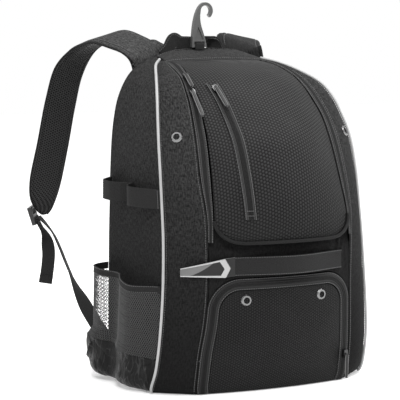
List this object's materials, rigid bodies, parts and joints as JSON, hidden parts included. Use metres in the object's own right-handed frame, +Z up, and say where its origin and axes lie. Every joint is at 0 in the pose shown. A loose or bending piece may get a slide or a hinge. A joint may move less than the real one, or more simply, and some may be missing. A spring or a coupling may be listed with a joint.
{
  "type": "baseball bat backpack",
  "caption": "Backpack with a domed front pocket, arched lower compartment, net bat sleeves with elastic straps on both sides, padded shoulder straps and a fence hook.",
  "frame": {"origin": "middle of the base, on the floor", "axes": "+X to the right of someone facing the front, front towards -Y, +Z up"},
  "size_m": [0.415, 0.4703, 0.541],
  "materials": {
    "body_cloth": "heathered dark grey polyester, plain weave",
    "dome_cloth": "dark grey embossed polyester",
    "mesh_cloth": "black net and spacer mesh",
    "webbing": "black woven webbing and nylon",
    "zip_tape": "dark coated zip tape",
    "reflective_trim": "light grey reflective piping and tab",
    "plastic": "dark grey moulded plastic",
    "metal": "bright metal"
  },
  "bodies": {
    "root": {"back_panel": "body_cloth", "top_panel": "body_cloth", "base_panel": "body_cloth", "gusset_left": "body_cloth", "gusset_right": "body_cloth", "side_panel_left": "body_cloth", "side_panel_right": "body_cloth", "front_panel": "body_cloth", "shoulder_pad_left": "body_cloth", "shoulder_pad_right": "body_cloth", "strap_anchor_left": "body_cloth", "strap_anchor_right": "body_cloth", "upper_pocket": "dome_cloth", "lower_pocket": "dome_cloth", "mesh_pocket_left": "mesh_cloth", "mesh_pocket_right": "mesh_cloth", "upper_pocket_rim": "webbing", "pocket_cup_left": "webbing", "pocket_cup_right": "webbing", "pocket_hem_left": "webbing", "pocket_hem_right": "webbing", "elastic_strap_left": "webbing", "elastic_strap_right": "webbing", "haul_handle": "webbing", "hook_loop": "webbing", "lower_webbing_left": "webbing", "lower_webbing_right": "webbing", "strap_tail_left": "webbing", "strap_tail_right": "webbing", "glove_strap": "webbing", "main_pull_upper": "webbing", "main_pull_lower": "webbing", "lower_pull": "webbing", "pocket_pull": "webbing", "main_zip_left": "zip_tape", "main_zip_right": "zip_tape", "pocket_zip": "zip_tape", "lower_zip": "zip_tape", "piping_left": "reflective_trim", "piping_right": "reflective_trim", "glove_tab": "reflective_trim", "hook": "plastic", "strap_buckle_left": "plastic", "strap_buckle_right": "plastic", "gusset_eyelet_left": "metal", "gusset_eyelet_right": "metal", "lower_eyelet_left": "metal", "lower_eyelet_right": "metal", "main_slider_upper": "metal", "main_slider_lower": "metal", "pocket_slider": "metal", "lower_slider": "metal"}
  },
  "joints": []
}
